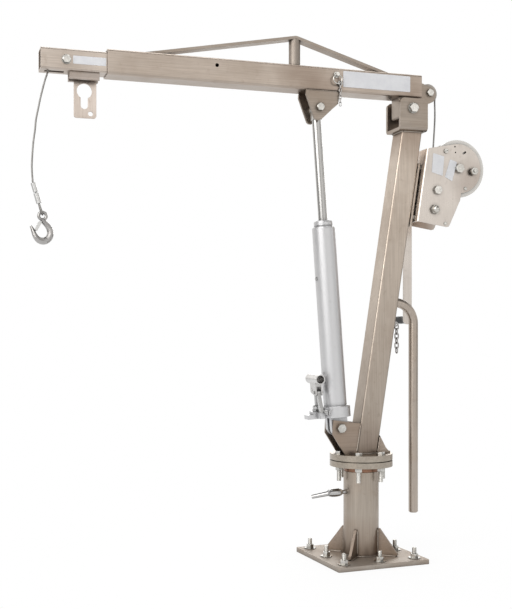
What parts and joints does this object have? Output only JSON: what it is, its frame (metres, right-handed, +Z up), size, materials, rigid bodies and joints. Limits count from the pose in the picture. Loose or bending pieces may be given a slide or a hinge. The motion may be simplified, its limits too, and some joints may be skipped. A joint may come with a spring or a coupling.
{
  "type": "truck jib crane",
  "caption": "Stainless truck-bed jib crane: swivelling leaning mast on a bolted base, hydraulic ram, sliding inner boom, geared hand winch, wire cable and hook",
  "frame": {"origin": "centre of the base plate's underside, on the swivel axis", "axes": "+Z up along the swivel axis, boom towards -X, winch towards +X, camera side -Y"},
  "size_m": [1.2946, 0.3806, 1.5134],
  "materials": {
    "base_plate": "as-rolled stainless",
    "base_post": "brushed stainless",
    "base_gussets": "brushed stainless",
    "thrust_ring": "dark bronze",
    "anchor_studs": "bright stainless",
    "anchor_nuts": "bright stainless",
    "anchor_washers": "bright stainless",
    "clamp_lever": "polished",
    "pivot_post": "turned",
    "lower_flange": "turned",
    "mast_flange": "turned",
    "flange_bolts": "bright stainless",
    "flange_nuts": "bright stainless",
    "mast_tube": "brushed stainless",
    "ram_foot_bracket": "brushed stainless",
    "mast_rear_gussets": "brushed stainless",
    "ram_foot_bolt": "bright stainless",
    "head_bracket": "brushed stainless",
    "head_pivot_bolt": "bright stainless",
    "swing_handle": "brushed stainless",
    "mast_chain": "bright stainless",
    "winch_mount": "satin stainless",
    "winch_frame": "satin stainless",
    "winch_fasteners": "bright stainless",
    "winch_drum": "satin stainless",
    "drum_cable": "stranded wire",
    "winch_intermediate": "machined",
    "crank_shaft": "machined",
    "crank_arm": "satin stainless",
    "crank_grip": "black rubber",
    "boom_tube": "brushed stainless",
    "boom_lug": "brushed stainless",
    "ram_head_bracket": "brushed stainless",
    "ram_head_bolt": "bright stainless",
    "truss_bar": "brushed stainless",
    "truss_strut": "brushed stainless",
    "rear_sheave_bracket": "brushed stainless",
    "rear_sheave_bolt": "bright stainless",
    "lanyard": "bright stainless",
    "cable_boom": "stranded wire",
    "cable_lead": "stranded wire",
    "rear_sheave": "turned",
    "lock_pin": "bright stainless",
    "inner_boom": "brushed stainless",
    "keyhole_plate": "brushed stainless",
    "keyhole_saddle": "brushed stainless",
    "front_sheave_bolt": "bright stainless",
    "front_sheave": "turned",
    "ram_rod": "hard chrome",
    "ram_cylinder": "silver",
    "ram_base": "silver",
    "pump_body": "machined",
    "pump_piston": "ground",
    "handle_socket": "bright stainless",
    "release_valve": "machined",
    "hoist_cable_tip": "stranded wire",
    "cable_sleeves": "crimped",
    "lifting_hook": "cast stainless",
    "hook_latch": "pressed stainless"
  },
  "bodies": {
    "base": {"base_plate": "base_plate", "base_post": "base_post", "base_gussets": "base_gussets", "thrust_ring": "thrust_ring", "anchor_studs": "anchor_studs", "anchor_nuts": "anchor_nuts", "anchor_washers": "anchor_washers"},
    "clamp": {"clamp_lever": "clamp_lever"},
    "mast": {"pivot_post": "pivot_post", "lower_flange": "lower_flange", "mast_flange": "mast_flange", "flange_bolts": "flange_bolts", "flange_nuts": "flange_nuts", "mast_tube": "mast_tube", "ram_foot_bracket": "ram_foot_bracket", "mast_rear_gussets": "mast_rear_gussets", "ram_foot_bolt": "ram_foot_bolt", "head_bracket": "head_bracket", "head_pivot_bolt": "head_pivot_bolt", "swing_handle": "swing_handle", "mast_chain": "mast_chain", "winch_mount": "winch_mount", "winch_frame": "winch_frame", "winch_fasteners": "winch_fasteners", "cable_lead": "cable_lead"},
    "drum": {"winch_drum": "winch_drum", "drum_cable": "drum_cable"},
    "mid_gear": {"winch_intermediate": "winch_intermediate"},
    "crank": {"crank_shaft": "crank_shaft", "crank_arm": "crank_arm"},
    "grip": {"crank_grip": "crank_grip"},
    "boom": {"boom_tube": "boom_tube", "boom_lug": "boom_lug", "ram_head_bracket": "ram_head_bracket", "ram_head_bolt": "ram_head_bolt", "truss_bar": "truss_bar", "truss_strut": "truss_strut", "rear_sheave_bracket": "rear_sheave_bracket", "rear_sheave_bolt": "rear_sheave_bolt", "lanyard": "lanyard", "cable_boom": "cable_boom"},
    "rear_wheel": {"rear_sheave": "rear_sheave"},
    "pull_pin": {"lock_pin": "lock_pin"},
    "extension": {"inner_boom": "inner_boom", "keyhole_plate": "keyhole_plate", "keyhole_saddle": "keyhole_saddle", "front_sheave_bolt": "front_sheave_bolt"},
    "front_wheel": {"front_sheave": "front_sheave"},
    "rod": {"ram_rod": "ram_rod"},
    "cylinder": {"ram_cylinder": "ram_cylinder", "ram_base": "ram_base", "pump_body": "pump_body"},
    "piston": {"pump_piston": "pump_piston"},
    "socket": {"handle_socket": "handle_socket"},
    "valve": {"release_valve": "release_valve"},
    "hook_line": {"hoist_cable_tip": "hoist_cable_tip", "cable_sleeves": "cable_sleeves", "lifting_hook": "lifting_hook"},
    "latch": {"hook_latch": "hook_latch"}
  },
  "joints": [
    {"name": "mast_swivel", "type": "hinge", "parent": "base", "child": "mast", "pos_m": [0, 0, 0.2633], "axis": [0, 0, 1], "continuous": true},
    {"name": "clamp_turn", "type": "hinge", "parent": "base", "child": "clamp", "pos_m": [-0.08912, -0.01253, 0.191], "axis": [-0.9903, -0.1392, 0], "range_deg": [-60, 60]},
    {"name": "boom_pivot", "type": "hinge", "parent": "mast", "child": "boom", "pos_m": [0.14007, 0, 1.2793], "axis": [0, 1, 0], "range_deg": [-5, 40], "deforming": ["cable_lead"]},
    {"name": "boom_extend", "type": "slide", "parent": "boom", "child": "extension", "axis": [-1, 0, 0], "range_m": [0, 0.345], "deforming": ["cable_boom"]},
    {"name": "lock_pull", "type": "slide", "parent": "boom", "child": "pull_pin", "axis": [0, -1, 0], "range_m": [0, 0.018]},
    {"name": "rod_swing", "type": "hinge", "parent": "boom", "child": "rod", "pos_m": [-0.13893, 0, 1.2668], "axis": [0, 1, 0], "range_deg": [-37.5, 5.5]},
    {"name": "ram_slide", "type": "slide", "parent": "rod", "child": "cylinder", "axis": [0.0714, 0, -0.9974], "range_m": [-0.0245, 0.186]},
    {"name": "drum_spin", "type": "hinge", "parent": "mast", "child": "drum", "pos_m": [0.28599, 0, 1.11408], "axis": [0, 1, 0], "continuous": true},
    {"name": "mid_spin", "type": "hinge", "parent": "mast", "child": "mid_gear", "pos_m": [0.21667, 0, 1.04891], "axis": [0, 1, 0], "continuous": true},
    {"name": "crank_spin", "type": "hinge", "parent": "mast", "child": "crank", "pos_m": [0.20812, 0, 0.99344], "axis": [0, 1, 0], "continuous": true},
    {"name": "grip_spin", "type": "hinge", "parent": "crank", "child": "grip", "pos_m": [0.20812, 0.18, 0.67844], "axis": [0, 1, 0], "continuous": true},
    {"name": "rear_sheave_spin", "type": "hinge", "parent": "boom", "child": "rear_wheel", "pos_m": [0.21007, 0, 1.3348], "axis": [0, 1, 0], "continuous": true},
    {"name": "front_sheave_spin", "type": "hinge", "parent": "extension", "child": "front_wheel", "pos_m": [-0.83563, 0, 1.3438], "axis": [0, 1, 0], "continuous": true},
    {"name": "hook_swing", "type": "hinge", "parent": "extension", "child": "hook_line", "pos_m": [-0.83563, 0, 1.3438], "axis": [0, 1, 0], "range_deg": [-41, 6]},
    {"name": "latch_open", "type": "hinge", "parent": "hook_line", "child": "latch", "pos_m": [-0.89943, 0, 0.9243], "axis": [0, -1, 0], "range_deg": [0, 30], "stiffness_Nm_per_rad": 0.02, "springref_deg": -20.05},
    {"name": "handle_tilt", "type": "hinge", "parent": "cylinder", "child": "socket", "pos_m": [-0.13928, -0.02, 0.47396], "axis": [-0.9974, 0, -0.0714], "range_deg": [-3, 24]},
    {"name": "pump_stroke", "type": "slide", "parent": "cylinder", "child": "piston", "axis": [-0.0714, 0, 0.9974], "range_m": [-0.0087, 0.0012]},
    {"name": "valve_turn", "type": "hinge", "parent": "cylinder", "child": "valve", "pos_m": [-0.12538, -0.05, 0.41981], "axis": [0, -1, 0], "range_deg": [0, 360]}
  ],
  "couplings": [
    {"joint": "rod_swing", "follows": "boom_pivot", "ratio": -0.9186},
    {"joint": "ram_slide", "follows": "boom_pivot", "m_per_rad": 0.263},
    {"joint": "hook_swing", "follows": "boom_pivot", "ratio": -1},
    {"joint": "mid_spin", "follows": "drum_spin", "ratio": -4.8462},
    {"joint": "crank_spin", "follows": "drum_spin", "ratio": 14.538},
    {"joint": "rear_sheave_spin", "follows": "drum_spin", "ratio": -2.425},
    {"joint": "front_sheave_spin", "follows": "drum_spin", "ratio": -3.88},
    {"joint": "pump_stroke", "follows": "handle_tilt", "m_per_rad": -0.0205}
  ]
}
